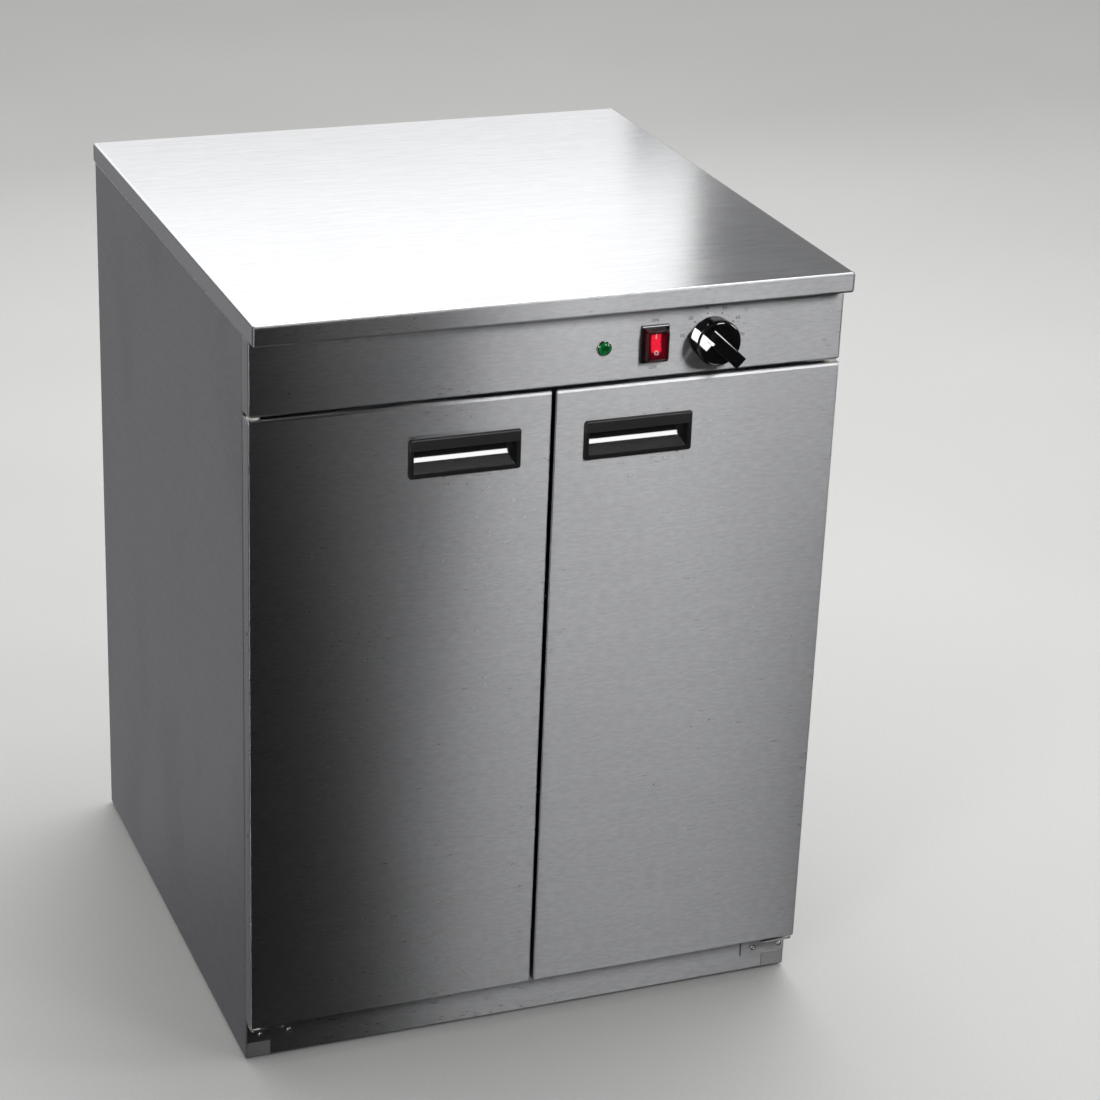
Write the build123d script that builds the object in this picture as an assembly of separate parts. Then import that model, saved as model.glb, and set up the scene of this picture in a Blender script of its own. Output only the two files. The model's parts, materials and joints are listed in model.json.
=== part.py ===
from build123d import *

import math
import os

# Plate warmer cabinet: an insulated two-door heated cupboard in folded stainless sheet.
# Millimetres. +Z is up, the doors face -Y, +X is to the right when facing the doors.
# The origin is the middle of the cabinet's box, on the floor.

# ---------------------------------------------------------------- driving dimensions
worktop_width = 600.0
worktop_depth = 615.0
overall_height = 795.0
apron_height = 20.5        # turned-down edge of the worktop
front_overhang = 19.0      # worktop edge ahead of the door faces
side_overhang = 1.0        # worktop edge outside the side panels
rear_overhang = 4.0        # worktop edge behind the back panel's outer face
panel_height = 73.5        # control panel, from the worktop's apron down
door_thickness = 17.0
door_clearance = 3.1       # between the control panel and the doors
door_split = 3.6           # between the two doors
door_standoff = 3.3        # between the doors and the carcass behind them
door_bottom_height = 49.0  # from the floor
floor_gap = 3.0            # under the plinth and side panels
sill_rise = 20.0           # carcass sill above the doors' bottom edge
head_drop = 7.9            # carcass head below the doors' top edge
flange_width = 26.0        # front and rear flanges of the side panels

# Sheet and insulation
shell_wall = 1.0
worktop_wall = 1.2
liner_wall = 0.8
door_wall = 1.0
door_inner_wall = 0.8
bend = 2.0                 # outside radius of a folded edge
worktop_bend = 3.0         # the same on the worktop
tight_bend = 1.5           # the same on the doors, plinth and side panels
lip_width = 22.0           # flange turned in under the worktop
channel_depth = 22.0       # flanges of the plinth and the head rail
floor_insulation = 25.0
roof_insulation = 20.0
seam = 0.4                 # open joint beside the plinth panel and the head rail

# Clearances
running_gap = 0.08         # pins and spindle in their bores
seat_gap = 0.3             # pieces that rest or pass close by
hole_gap = 0.2             # radial room of a fixed piece in its hole
grip_gap = 0.02            # knob on its spindle
over = 3.0                 # cutters run this far past the face they open
small_round = 1.0          # eased edges of moulded pieces

# Door pivots
pivot_inset = 7.0          # pin axis from the door's outer edge
pivot_share = 0.53         # pin axis ahead of the door's back, in door thicknesses
pivot_radius = 3.0
pivot_length = 12.0        # pin inside the door
bush_radius = 5.0
bush_flange_radius = 6.4
bush_flange_height = 2.2
bush_end = 2.0             # closed end of the bush past the pin
bracket_wall = 2.0
bracket_width = 50.0
bracket_height = 25.0
bracket_inset = 1.3        # bracket from the carcass's outer edge
bracket_leaf = 34.0        # width of the leaf that carries the pin
bracket_screw_offsets = (14.0, 43.8)  # from the plate's left end
bracket_screw_edge = 8.2   # screws from the plate's free edge
bracket_screw_radius = 1.5
bracket_screw_head = (2.9, 1.7)       # radius and height
bracket_corner = 3.0

# Door furniture
pull_width = 111.5
pull_height = 40.0
pull_flange = 2.5          # stands proud of the door
pull_inset = 30.65         # pull from the door's inner edge
pull_drop = 34.3           # pull below the door's top edge
pull_rim = 4.2
pull_hood = 12.0           # band that the fingers reach behind
pull_back_room = 2.7       # between the pull and the door's back panel
pull_wall = 1.5
pull_corner = 2.5
pull_ramp_slope = 50.0     # degrees, at the pocket's foot
pull_ramp_share = 0.585    # share of the pocket's depth that the straight ramp takes
rivet_radius = 1.6
rivet_head = (2.4, 0.8)    # radius and height
rivet_depth = 8.0          # door edge rivets behind the door's face
door_inner_flange = 11.0
rivet_rows = (1 / 3, 2 / 3)  # up the door's height

# Controls on the panel, from its middle line and its bottom edge
control_height = 34.5
lamp_x = 48.8
switch_x = 100.3
knob_x = 160.2
lamp_radius = 6.2
lamp_stem_radius = 5.8
lamp_ring_radius = 7.5
lamp_ring_height = 1.6
lamp_seat = 0.6            # bottom of the lens ahead of the panel
lamp_dome = 2.2
lamp_nut_depth = 4.0
lamp_depth = 24.0
switch_width = 29.0
switch_height = 38.0
switch_flange = 2.0
switch_step = 1.8          # flange outside the switch's body
switch_body_depth = 26.0
switch_corner = 1.5
switch_cover_width = 24.0
switch_cover_height = 31.0
switch_cover_depth = 9.0
switch_cover_wall = 1.0
rocker_width = 14.0
rocker_height = 22.0
rocker_room = 1.2
rocker_throw = 8.0         # degrees either side of the middle
rocker_pivot_depth = 3.0   # pivot behind the frame's face
rocker_rise = 6.4          # ends ahead of the rocker's pivot
rocker_waist = 4.6         # middle ahead of the pivot
rocker_skirt = 1.0         # ends behind the pivot
rocker_heel = 4.5          # middle behind the pivot
rocker_pin_radius = 1.5
rocker_pin_reach = 1.2     # pin beyond the rocker's flank
rocker_pin_gap = 0.3
knob_base_radius = 22.2
knob_face_radius = 23.0
knob_height = 18.5
knob_gap = 1.0
grip_width = 13.5
grip_height = 28.0         # above the knob's base
grip_reach = 27.0          # far end of the grip from the spindle
grip_tip = 22.8            # pointer end of the grip from the spindle
grip_crease = 9.7
grip_crease_rise = 2.5     # crease above the knob's face
knob_bore = (6.0, 7.0)     # middle and half length along the knob's axis
knob_round = 3.5
grip_round = 0.7
pointer_angle = 136.0      # degrees from +X, seen from the front
spindle_radius = 3.0
spindle_length = 27.5      # 12 mm in the knob
spindle_in_knob = 12.0
spindle_bush_radius = 4.6
spindle_bush_reach = 0.6
thermostat_width = 46.0
thermostat_height = 42.0
thermostat_depth = 36.0
thermostat_corner = 4.0

# Worktop
stiffener_wall = 1.2
stiffener_width = 40.0
stiffener_stations = (0.2, 0.5, 0.8)             # along the worktop's depth
worktop_screw_stations = (0.1, 0.35, 0.65, 0.9)  # along the side panels
worktop_screw_radius = 2.0
worktop_screw_head = (4.0, 2.2)
screw_end = 2.0            # screws past the last sheet they hold
screw_recess = 0.9         # width of a cross recess's arms

# Back
back_rivet_radius = 2.0
back_rivet_head = (3.6, 1.2)
back_rivet_rows = 5
back_edge = 0.5            # back panel inside the side panels' outer faces
vent_left = -200.0
vent_length = 60.0
vent_width = 5.0
vent_pitch = 14.0
vent_rows = 4
vent_columns = 3
gland_x = 230.0
gland_reach = 18.0         # cable gland behind the back panel
gland_bore_radius = 4.5
gland_thread_radius = 8.0
gland_thread_length = 12.0
gland_flange_radius = 11.0
gland_flange_height = 6.0
gland_mouth_radius = 7.0
gland_nut_height = 4.0

# Wiring
terminal_x = (110.0, 170.0)
terminal_height = 24.0
terminal_depth = 24.0
terminal_poles = 4
terminal_hole = (2.5, 8.0)  # radius and depth
loom_radius = 3.5
loom_bend = 20.0
loom_rise = 8.0            # loom above the switch's middle
loom_slant = 80.0          # length over which the loom shifts sideways

# Inside
shelf_share = 0.55         # shelf up the cupboard's inside
cover_height = 42.0        # element cover above the liner's floor
element_radius = 4.2
element_rise = 15.0        # element axis above the liner's floor
element_bend = 30.0
element_end_bend = 21.0
element_terminal_x = 25.0
element_side = 215.0
element_front_room = 90.0
element_back_room = 60.0
element_loop = 80.0
element_tail = 12.0        # ends of the element behind the liner
element_clip = (16.0, 12.0)
cover_room = 2.0           # element cover inside the liner
slot_length = 60.0
slot_width = 6.0
slot_columns = 6
slot_count = 12            # slots from front to back
slot_margin = 30.0
upright_width = 20.0
upright_depth = 6.0
upright_pitch = 25.0
upright_inset = 60.0       # upright from the liner's front and back
upright_foot = 15.0        # upright above the element cover
upright_head = 20.0        # upright below the liner's roof
upright_hole_start = 20.0
upright_hole_width = 10.0
upright_hole_height = 4.0
clip_reach = 16.0
clip_height = 3.0
clip_tongue = 3.0
shelf_edge = 15.0
shelf_gap = 2.0
shelf_front_gap = 15.0
shelf_back_gap = 10.0
capillary_radius = 1.0
capillary_hole_radius = 4.0
capillary_bend = 15.0
bulb_radius = 3.2
bulb_length = 90.0
bulb_room = 20.0           # bulb axis ahead of the liner's back
bulb_drop = 30.0           # bulb below the liner's roof
bulb_clip_width = 12.0
bulb_clip_height = 8.0
bulb_clip_wall = 1.2

# Base and door stops
base_flange = 15.0
foot_radius = 18.0
foot_height = 5.0
foot_margin = 4.0
foot_stem_radius = 4.0
foot_nut_height = 8.0
foot_nut_width = 16.0
rail_margin = 2.0          # head rail above the upper pivot brackets
rail_notch_margin = 12.0
magnet_width = 40.0
magnet_height = 12.0
magnet_depth = 14.0
magnet_inset = 10.0        # magnet from the door's inner edge
strike_border = 4.0        # magnet's face beside the strike
buffer_radius = 5.0
buffer_inset = 30.0        # buffer from the door's inner edge

# ---------------------------------------------------------------- derived places
lead = max(0.0, knob_gap + grip_height - front_overhang)
tail = max(0.0, gland_reach - rear_overhang)
overall_depth = lead + worktop_depth + tail
worktop_front = lead - overall_depth / 2
worktop_back = worktop_front + worktop_depth

body_half = worktop_width / 2 - side_overhang
body_top = overall_height - apron_height
door_front = worktop_front + front_overhang
door_back = door_front + door_thickness
carcass_front = door_back + door_standoff
carcass_back = worktop_back - rear_overhang - shell_wall
panel_bottom = body_top - panel_height
door_bottom = door_bottom_height
door_top = panel_bottom - door_clearance
sill_top = door_bottom + sill_rise
head_bottom = door_top - head_drop

liner_outer = body_half - flange_width
liner_inner = liner_outer - liner_wall
liner_floor_top = sill_top + liner_wall
liner_roof_top = head_bottom + liner_wall
liner_rear_inner = carcass_back - flange_width - liner_wall
liner_rear_outer = carcass_back - flange_width
base_top = sill_top - floor_insulation
roof_top = liner_roof_top + roof_insulation
cover_top = liner_floor_top + cover_height

pivot_x = body_half - pivot_inset
pivot_y = door_back - pivot_share * door_thickness
bush_gap = bush_flange_height + seat_gap   # between a door and a pivot leaf
control_z = panel_bottom + control_height
pull_top = door_top - pull_drop
pull_bottom = pull_top - pull_height
pull_near = door_split / 2 + pull_inset
pull_pocket_depth = door_thickness - door_inner_wall - pull_back_room - pull_wall

element_level = liner_floor_top + element_rise
upright_bottom = cover_top + upright_foot
upright_top = head_bottom - upright_head
bulb_place = (knob_x, liner_rear_inner - bulb_room)
bulb_top = head_bottom - bulb_drop
spindle_end = door_front - knob_gap - spindle_in_knob + spindle_length
rocker_pivot_y = door_front - switch_flange + rocker_pivot_depth
gland_place = (gland_x, (roof_top + body_top) / 2)
terminal_z = (gland_place[1] - terminal_height / 2, gland_place[1] + terminal_height / 2)


# ---------------------------------------------------------------- helpers
def block(x, y, z):
    """Box between (low, high) pairs on each axis."""
    middle = Pos(sum(x) / 2, sum(y) / 2, sum(z) / 2)
    return middle * Box(x[1] - x[0], y[1] - y[0], z[1] - z[0])


def span(side, near, far):
    """Distances from the middle line as a (low, high) pair on one side, -1 or 1."""
    return tuple(sorted((side * near, side * far)))


def rod(axis, radius, along, centre):
    """Cylinder along X, Y or Z between two places, about a centre in the other two axes."""
    length = along[1] - along[0]
    middle = sum(along) / 2
    if axis == "X":
        return Pos(middle, centre[0], centre[1]) * Rot(0, 90, 0) * Cylinder(radius, length)
    if axis == "Y":
        return Pos(centre[0], middle, centre[1]) * Rot(90, 0, 0) * Cylinder(radius, length)
    return Pos(centre[0], centre[1], middle) * Cylinder(radius, length)


def folded_block(x, y, z, axis, towards, radius):
    """Block whose corners along an axis and rim opposite its open side are rounded."""
    body = block(x, y, z)
    if radius <= 0:
        return body
    faces = body.faces().sort_by(axis)
    closed = faces[0] if towards > 0 else faces[-1]
    return fillet(closed.edges() + body.edges().filter_by(axis), radius)


def tray(x, y, z, wall, axis, towards, radius=bend):
    """Folded sheet box with one open side, towards +axis (1) or -axis (-1)."""
    ranges = [(low + wall, high - wall) for low, high in (x, y, z)]
    number = (Axis.X, Axis.Y, Axis.Z).index(axis)
    low, high = ranges[number]
    ranges[number] = (low, high + 2 * wall) if towards > 0 else (low - 2 * wall, high)
    outside = folded_block(x, y, z, axis, towards, radius)
    return outside - folded_block(*ranges, axis, towards, max(radius - wall, 0.0))


def channel(x, y, z, wall, towards, radius):
    """Folded C-section along X, open towards +Y (1) or -Y (-1)."""
    longer = (x[0] - 4 * radius, x[1] + 4 * radius)
    return tray(longer, y, z, wall, Axis.Y, towards, radius) & block(x, y, z)


def slot_rows(x, y, top):
    """Round-ended slots, long along X, in a grid through a level sheet."""
    cutters = []
    pitch_x = (x[1] - x[0] - 2 * slot_margin) / slot_columns
    pitch_y = (y[1] - y[0] - 2 * slot_margin) / slot_count
    slot = extrude(SlotOverall(slot_length, slot_width), 2 * over)
    for column in range(slot_columns):
        centre_x = x[0] + slot_margin + (column + 0.5) * pitch_x
        for row in range(slot_count):
            centre_y = y[0] + slot_margin + (row + 0.5) * pitch_y
            cutters.append(Pos(centre_x, centre_y, top - over) * slot)
    return cutters


def dome(radius, height):
    """Low dome, standing on Z = 0."""
    ball = (radius**2 + height**2) / (2 * height)
    cap = Pos(0, 0, height - ball) * Sphere(ball)
    return cap & Pos(0, 0, height / 2) * Box(3 * radius, 3 * radius, height)


def headed_pin(head, radius, length):
    """Domed head standing on Z = 0, with its shank below."""
    return dome(*head) + Pos(0, 0, -length / 2) * Cylinder(radius, length)


def pan_screw(head, radius, length):
    """Headed pin with a cross recess."""
    screw = headed_pin(head, radius, length)
    for turn in (0, 90):
        screw -= Pos(0, 0, head[1]) * Rot(0, 0, turn) * Box(head[0], screw_recess, head[1])
    return screw


def facing(x, y, z, out, up=(0, 0, 1)):
    """Place a piece so that its +Z points along out and its +Y points up."""
    right = Vector(*up).cross(Vector(*out))
    return Plane(origin=(x, y, z), x_dir=right, z_dir=out)


def save(name, *pieces):
    """Write one node, whose pieces stay separate solids."""
    shape = pieces[0] if len(pieces) == 1 else Compound(children=list(pieces))
    export_step(shape, "parts/" + name + ".step")


# ---------------------------------------------------------------- worktop
def worktop_screw_places():
    places = []
    for side in (-1, 1):
        for share in worktop_screw_stations:
            y = carcass_front + share * (carcass_back - carcass_front)
            places.append((side * (body_half - flange_width / 2), y))
    return places


def worktop():
    half = worktop_width / 2
    x = (-half, half)
    y = (worktop_front, worktop_back)
    z = (body_top, overall_height)
    wall = worktop_wall
    outside = block(x, y, z)
    outside = fillet(outside.edges(), worktop_bend)
    hollow = block(
        (x[0] + wall, x[1] - wall), (y[0] + wall, y[1] - wall), (z[0] + wall, z[1] - wall)
    )
    hollow = fillet(hollow.edges(), worktop_bend - wall)
    mouth = block(
        (x[0] + lip_width, x[1] - lip_width),
        (door_front + lip_width / 2, y[1] - lip_width),
        (z[0] - over, z[0] + over),
    )
    body = outside - hollow - mouth
    for place in worktop_screw_places():
        body -= rod("Z", worktop_screw_radius + hole_gap, (z[0] - over, z[0] + over), place)
    return body


def worktop_stiffeners():
    low = body_top + worktop_wall
    high = overall_height - worktop_wall
    half = worktop_width / 2 - worktop_wall - worktop_bend
    channels = []
    for share in stiffener_stations:
        y = worktop_front + share * worktop_depth
        channels.append(
            tray(
                (-half, half),
                (y - stiffener_width / 2, y + stiffener_width / 2),
                (low, high),
                stiffener_wall,
                Axis.Z,
                -1,
            )
        )
    return channels


def worktop_screws():
    screws = []
    length = shell_wall + worktop_wall + screw_end
    for x, y in worktop_screw_places():
        place = Plane(origin=(x, y, body_top - shell_wall), x_dir=(1, 0, 0), z_dir=(0, 0, -1))
        screws.append(place * pan_screw(worktop_screw_head, worktop_screw_radius, length))
    return screws


# ---------------------------------------------------------------- outer shell
def back_rivet_places():
    low = floor_gap + flange_width
    high = body_top - flange_width
    step = (high - low) / (back_rivet_rows - 1)
    places = []
    for side in (-1, 1):
        for row in range(back_rivet_rows):
            places.append((side * (body_half - flange_width / 2), low + row * step))
    return places


def bracket_left(side):
    """Left end of the pivot bracket's plate on one side."""
    if side < 0:
        return -body_half + bracket_inset
    return body_half - bracket_inset - bracket_width


def leaf_level(upper):
    """Bottom and top of a pivot bracket's leaf."""
    if upper:
        return (door_top + bush_gap, door_top + bush_gap + bracket_wall)
    return (door_bottom - bush_gap - bracket_wall, door_bottom - bush_gap)


def bracket_plate(side, upper):
    """X and Z ranges of a pivot bracket's plate."""
    low, high = leaf_level(upper)
    left = bracket_left(side)
    z = (low, low + bracket_height) if upper else (high - bracket_height, high)
    return (left, left + bracket_width), z


def bracket_screw_places(side, upper):
    x, z = bracket_plate(side, upper)
    level = z[1] - bracket_screw_edge if upper else z[0] + bracket_screw_edge
    return [(x[0] + offset, level) for offset in bracket_screw_offsets]


def bracket_holes():
    """Screw holes of every pivot bracket, through the carcass behind it."""
    holes = []
    radius = bracket_screw_radius + hole_gap
    for side in (-1, 1):
        for upper in (False, True):
            for place in bracket_screw_places(side, upper):
                holes.append(rod("Y", radius, (carcass_front - over, carcass_front + over), place))
    return holes


def side_panel(side):
    panel = tray(
        span(side, body_half - flange_width, body_half),
        (carcass_front, carcass_back),
        (floor_gap, body_top),
        shell_wall,
        Axis.X,
        -side,
        tight_bend,
    )
    cuts = bracket_holes()
    rear = (carcass_back - over, carcass_back + over)
    for place in back_rivet_places():
        cuts.append(rod("Y", back_rivet_radius + hole_gap, rear, place))
    top = (body_top - over, body_top + over)
    for place in worktop_screw_places():
        cuts.append(rod("Z", worktop_screw_radius + hole_gap, top, place))
    return panel - cuts


def back_panel():
    half = body_half - back_edge
    y = (carcass_back, carcass_back + shell_wall)
    panel = block((-half, half), y, (floor_gap, body_top - back_edge))
    through = (y[0] - over, y[1] + over)
    cuts = [rod("Y", gland_thread_radius + hole_gap, through, gland_place)]
    for place in back_rivet_places():
        cuts.append(rod("Y", back_rivet_radius + hole_gap, through, place))
    for column in range(vent_columns):
        x = vent_left + column * (vent_length + vent_pitch)
        for row in range(vent_rows):
            z = roof_top + vent_pitch + row * vent_pitch
            slot = extrude(SlotOverall(vent_length, vent_width), 2 * over)
            cuts.append(facing(x, through[0], z, (0, 1, 0)) * slot)
    return panel - cuts


def back_rivets():
    rivets = []
    length = 2 * shell_wall
    for x, z in back_rivet_places():
        place = facing(x, carcass_back + shell_wall, z, (0, 1, 0))
        rivets.append(place * headed_pin(back_rivet_head, back_rivet_radius, length))
    return rivets


def base_panel():
    half = body_half - shell_wall
    y = (carcass_front + shell_wall, carcass_back - shell_wall)
    panel = tray((-half, half), y, (base_top - base_flange, base_top), shell_wall, Axis.Z, -1)
    for place in foot_places():
        panel -= rod("Z", foot_stem_radius + hole_gap, (base_top - over, base_top + over), place)
    return panel


def foot_places():
    inset = flange_width + foot_radius + foot_margin
    places = []
    for x in (-body_half + inset, body_half - inset):
        for y in (carcass_front + inset, carcass_back - inset):
            places.append((x, y))
    return places


def levelling_feet():
    feet = []
    for x, y in foot_places():
        pad = fillet(Cylinder(foot_radius, foot_height).edges(), small_round)
        pad = Pos(x, y, foot_height / 2) * pad
        stem = rod("Z", foot_stem_radius, (foot_height / 2, base_top - shell_wall), (x, y))
        feet.append(pad + stem)
    return feet


def foot_nuts():
    nuts = []
    top = base_top - shell_wall
    for x, y in foot_places():
        nut = extrude(RegularPolygon(foot_nut_width / 2, 6, major_radius=False), foot_nut_height)
        nut = Pos(x, y, top - foot_nut_height) * nut
        through = (top - foot_nut_height - over, top + over)
        nuts.append(nut - rod("Z", foot_stem_radius + running_gap, through, (x, y)))
    return nuts


def plinth_panel():
    half = liner_outer - seam
    y = (carcass_front, carcass_front + channel_depth)
    panel = channel((-half, half), y, (floor_gap, sill_top), shell_wall, 1, tight_bend)
    return panel - bracket_holes()


def head_rail():
    """Angle over the cupboard's mouth, notched behind the lamp, switch and thermostat."""
    half = liner_outer - seam
    top = bracket_plate(1, True)[1][1] + rail_margin
    y = (carcass_front, carcass_front + channel_depth)
    web = block((-half, half), (y[0], y[0] + shell_wall), (liner_roof_top, top))
    flange = block((-half, half), y, (liner_roof_top, liner_roof_top + shell_wall))
    notch = block(
        (lamp_x - lamp_ring_radius - rail_notch_margin, knob_x + thermostat_width / 2 + rail_notch_margin),
        (y[0] - over, y[1] + over),
        (panel_bottom, top + over),
    )
    return web + flange - notch - bracket_holes()


def control_panel():
    """Folded tray across the front, notched at its ends for the upper pivot brackets."""
    body = tray(
        (-body_half, body_half),
        (door_front, carcass_front),
        (panel_bottom, body_top),
        shell_wall,
        Axis.Y,
        1,
    )
    near = 2 * seat_gap
    for side in (-1, 1):
        x, z = bracket_plate(side, True)
        notch = block(
            (x[0] - near, x[1] + seat_gap),
            (carcass_front - bracket_wall - near, carcass_front + over),
            (panel_bottom - over, z[1] + seat_gap),
        )
        leaf = block(
            span(side, body_half - bracket_inset - bracket_leaf - seat_gap, body_half - shell_wall),
            (pivot_y - bush_flange_radius - seat_gap, carcass_front + over),
            (panel_bottom - over, leaf_level(True)[1] + seat_gap),
        )
        body -= [notch, leaf]
    through = (door_front - over, door_front + over)
    body -= rod("Y", lamp_stem_radius + hole_gap, through, (lamp_x, control_z))
    body -= rod("Y", spindle_bush_radius + hole_gap, through, (knob_x, control_z))
    step = switch_step - seat_gap
    window = (switch_width / 2 - step, switch_height / 2 - step)
    body -= block(
        (switch_x - window[0], switch_x + window[0]),
        through,
        (control_z - window[1], control_z + window[1]),
    )
    return body


# ---------------------------------------------------------------- liner and insulation
def liner_side(side):
    return block(
        span(side, liner_inner, liner_outer),
        (carcass_front, liner_rear_inner),
        (sill_top, head_bottom),
    )


def liner_back():
    y = (liner_rear_inner, liner_rear_outer)
    panel = block((-liner_outer, liner_outer), y, (sill_top, head_bottom))
    for side in (-1, 1):
        place = (side * element_terminal_x, element_level)
        panel -= rod("Y", element_radius + hole_gap, (y[0] - over, y[1] + over), place)
    return panel


def liner_floor():
    return block(
        (-liner_inner, liner_inner), (carcass_front, liner_rear_inner), (sill_top, liner_floor_top)
    )


def liner_roof():
    panel = block(
        (-liner_outer, liner_outer), (carcass_front, liner_rear_outer), (head_bottom, liner_roof_top)
    )
    through = (head_bottom - over, liner_roof_top + over)
    return panel - rod("Z", capillary_hole_radius, through, bulb_place)


def insulation_side(side):
    """Pad beside the liner, just clear of the side panel's folds."""
    near = shell_wall + seat_gap
    return block(
        span(side, liner_outer, body_half - near),
        (carcass_front + near, carcass_back - near),
        (base_top, roof_top),
    )


def insulation_back():
    pad = block(
        (-liner_outer, liner_outer), (liner_rear_outer, carcass_back), (base_top, liner_roof_top)
    )
    for side in (-1, 1):
        place = (side * element_terminal_x, element_level)
        pad -= rod("Y", 2 * element_radius, (liner_rear_outer - over, carcass_back + over), place)
    return pad


def insulation_floor():
    return block(
        (-liner_outer, liner_outer),
        (carcass_front + channel_depth, liner_rear_outer),
        (base_top, sill_top),
    )


def insulation_roof():
    pad = block(
        (-liner_outer, liner_outer),
        (carcass_front + channel_depth, carcass_back),
        (liner_roof_top, roof_top),
    )
    through = (liner_roof_top - over, roof_top + over)
    return pad - rod("Z", capillary_hole_radius, through, bulb_place)


# ---------------------------------------------------------------- heat
def heating_element():
    """Sheathed rod laid in a wide loop with a fold in the middle, ends out through the back."""
    back = liner_rear_outer + element_tail
    rear = liner_rear_inner - element_back_room
    front = carcass_front + element_front_room
    fold = rear - 2.5 * element_bend
    half = [
        (element_terminal_x, back),
        (element_terminal_x, rear),
        (element_side, rear),
        (element_side, front),
        (element_loop, front),
        (element_loop, fold),
    ]
    outline = half + [(-x, y) for x, y in reversed(half)]
    points = [(x, y, element_level) for x, y in outline]
    radii = [element_end_bend] + [element_bend] * (len(points) - 4) + [element_end_bend]
    path = FilletPolyline(*points, radius=radii)
    start = Plane(origin=path @ 0, z_dir=path % 0)
    return sweep(start * Circle(element_radius), path=path)


def element_clips():
    """Saddles that hold the rod above the liner's floor."""
    clips = []
    y = (carcass_front + liner_rear_inner) / 2
    for side in (-1, 1):
        for x in (element_loop, element_side):
            saddle = block(
                (side * x - element_clip[0] / 2, side * x + element_clip[0] / 2),
                (y - element_clip[1] / 2, y + element_clip[1] / 2),
                (liner_floor_top, element_level),
            )
            along = (y - element_clip[1], y + element_clip[1])
            groove = rod("Y", element_radius + hole_gap, along, (side * x, element_level))
            clips.append(saddle - groove)
    return clips


def element_cover():
    """Slotted tray over the element, which is also the cupboard's lower deck."""
    x = (cover_room - liner_inner, liner_inner - cover_room)
    y = (carcass_front + cover_room, liner_rear_inner - cover_room)
    cover = tray(x, y, (liner_floor_top, cover_top), shell_wall, Axis.Z, -1)
    room = element_radius + small_round
    for side in (-1, 1):
        middle = side * element_terminal_x
        cover -= block(
            (middle - room, middle + room),
            (y[1] - over, y[1] + over),
            (liner_floor_top - over, element_level + room),
        )
    return cover - slot_rows(x, y, cover_top)


# ---------------------------------------------------------------- shelf
def upright_stations():
    return (carcass_front + upright_inset, liner_rear_inner - upright_inset)


def upright_hole_levels():
    count = int((upright_top - upright_bottom - upright_hole_start) // upright_pitch)
    return [upright_bottom + upright_hole_start + row * upright_pitch for row in range(count)]


def clip_level():
    """The uprights' hole that lies nearest to the wanted shelf level."""
    wanted = cover_top + shelf_share * (head_bottom - cover_top)
    return min(upright_hole_levels(), key=lambda level: abs(level - wanted))


def shelf_uprights():
    uprights = []
    for side in (-1, 1):
        for y in upright_stations():
            strip = tray(
                span(side, liner_inner - upright_depth, liner_inner),
                (y - upright_width / 2, y + upright_width / 2),
                (upright_bottom, upright_top),
                shell_wall,
                Axis.X,
                side,
                0.0,
            )
            holes = []
            face = liner_inner - upright_depth
            for level in upright_hole_levels():
                hole = block(
                    span(side, face - over, face + over),
                    (y - upright_hole_width / 2, y + upright_hole_width / 2),
                    (level - upright_hole_height / 2, level + upright_hole_height / 2),
                )
                holes.append(hole)
            uprights.append(strip - holes)
    return uprights


def shelf_clips():
    clips = []
    face = liner_inner - upright_depth
    level = clip_level()
    tongue_half = upright_hole_width / 2 - seat_gap
    for side in (-1, 1):
        for y in upright_stations():
            rest = block(
                span(side, face - clip_reach, face),
                (y - upright_width / 2, y + upright_width / 2),
                (level - clip_height / 2, level + clip_height / 2),
            )
            tongue = block(
                span(side, face - clip_reach / 2, face + clip_tongue),
                (y - tongue_half, y + tongue_half),
                (level - clip_height / 2, level + clip_height / 2),
            )
            clips.append(rest + tongue)
    return clips


def shelf():
    half = liner_inner - upright_depth - shelf_gap
    low = clip_level() + clip_height / 2
    x = (-half, half)
    y = (carcass_front + shelf_front_gap, liner_rear_inner - shelf_back_gap)
    plate = tray(x, y, (low, low + shelf_edge), shell_wall, Axis.Z, -1)
    return plate - slot_rows(x, y, low + shelf_edge)


# ---------------------------------------------------------------- controls
def thermostat():
    back_of_panel = door_front + shell_wall
    body = block(
        (knob_x - thermostat_width / 2, knob_x + thermostat_width / 2),
        (back_of_panel, back_of_panel + thermostat_depth),
        (control_z - thermostat_height / 2, control_z + thermostat_height / 2),
    )
    body = fillet(body.edges().filter_by(Axis.Y), thermostat_corner)
    centre = (knob_x, control_z)
    bush_y = (door_front - spindle_bush_reach, back_of_panel + over)
    bush = rod("Y", spindle_bush_radius, bush_y, centre)
    bore = rod("Y", spindle_radius + running_gap, (door_front - over, spindle_end + seat_gap), centre)
    return body + bush - bore


def thermostat_spindle():
    start = spindle_end - spindle_length
    return rod("Y", spindle_radius, (start, spindle_end), (knob_x, control_z))


def thermostat_capillary():
    """Thin tube from the thermostat over the roof and down to the bulb in the cupboard."""
    level = control_z - thermostat_height / 4
    start = (knob_x, door_front + shell_wall + thermostat_depth, level)
    corner = (knob_x, bulb_place[1], level)
    end = (knob_x, bulb_place[1], bulb_top)
    path = FilletPolyline(start, corner, end, radius=capillary_bend)
    tube = sweep(Plane(origin=path @ 0, z_dir=path % 0) * Circle(capillary_radius), path=path)
    bulb = rod("Z", bulb_radius, (bulb_top - bulb_length, bulb_top + small_round), bulb_place)
    return tube + fillet(bulb.edges(), small_round)


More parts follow.
